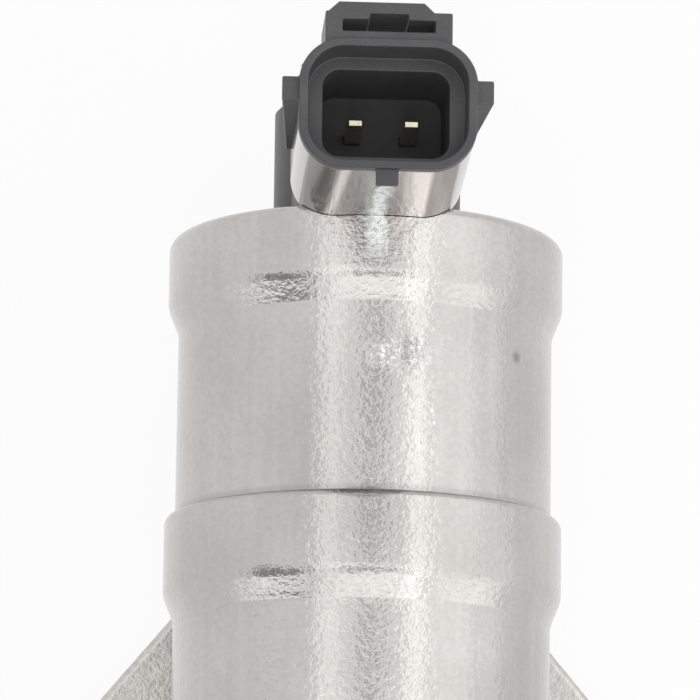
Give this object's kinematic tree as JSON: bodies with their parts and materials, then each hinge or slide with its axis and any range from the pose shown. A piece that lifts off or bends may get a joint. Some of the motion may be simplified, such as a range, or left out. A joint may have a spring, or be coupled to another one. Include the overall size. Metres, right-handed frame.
{
  "type": "idle air control valve",
  "caption": "Solenoid idle air control valve: stepped metal can with an upright plug connector, on an eared mounting flange with air ports in its face and a sprung valve inside.",
  "frame": {"origin": "on the mounting face, midway between the bolt holes", "axes": "+Z out of the mounting face through the valve, +Y along the valve's axis towards the connector, +X across the ears"},
  "size_m": [0.0706, 0.0994, 0.064],
  "materials": {
    "satin_steel": "satin, fine grain",
    "cast_aluminium": "satin machined barrel, cast flange",
    "black_plastic": "moulded, matt",
    "bright_steel": "bright",
    "plated_steel": "zinc plated",
    "terminal_brass": "pale gold plating",
    "bronze": "sintered",
    "copper_wire": "enamelled wire",
    "bobbin_plastic": "moulded",
    "spring_steel": "drawn wire",
    "turned_aluminium": "turned",
    "seal_rubber": "matt"
  },
  "bodies": {
    "housing": {"solenoid_can": "satin_steel", "valve_housing": "cast_aluminium", "connector_body": "black_plastic", "connector_saddle": "bright_steel", "rear_plate": "plated_steel", "front_plate": "plated_steel", "fixed_core": "plated_steel", "adjusting_screw": "plated_steel", "terminal_left": "terminal_brass", "terminal_right": "terminal_brass", "rear_bush": "bronze", "front_bush": "bronze", "guide_tube": "bronze", "coil_winding": "copper_wire", "coil_bobbin": "bobbin_plastic", "return_spring": "spring_steel", "bias_spring": "spring_steel", "valve_seat": "turned_aluminium", "end_plug": "turned_aluminium", "can_seal": "seal_rubber", "plug_seal": "seal_rubber", "port_seal_north": "seal_rubber", "port_seal_south": "seal_rubber"},
    "plunger": {"armature": "plated_steel", "valve_shaft": "bright_steel", "valve_poppet": "turned_aluminium", "poppet_clip": "plated_steel"}
  },
  "joints": [
    {"name": "plunger_slide", "type": "slide", "parent": "housing", "child": "plunger", "axis": [0, 1, 0], "range_m": [0, 0.004], "stiffness_N_per_m": 600, "springref_m": -0.008, "deforming": ["return_spring", "bias_spring"]}
  ]
}
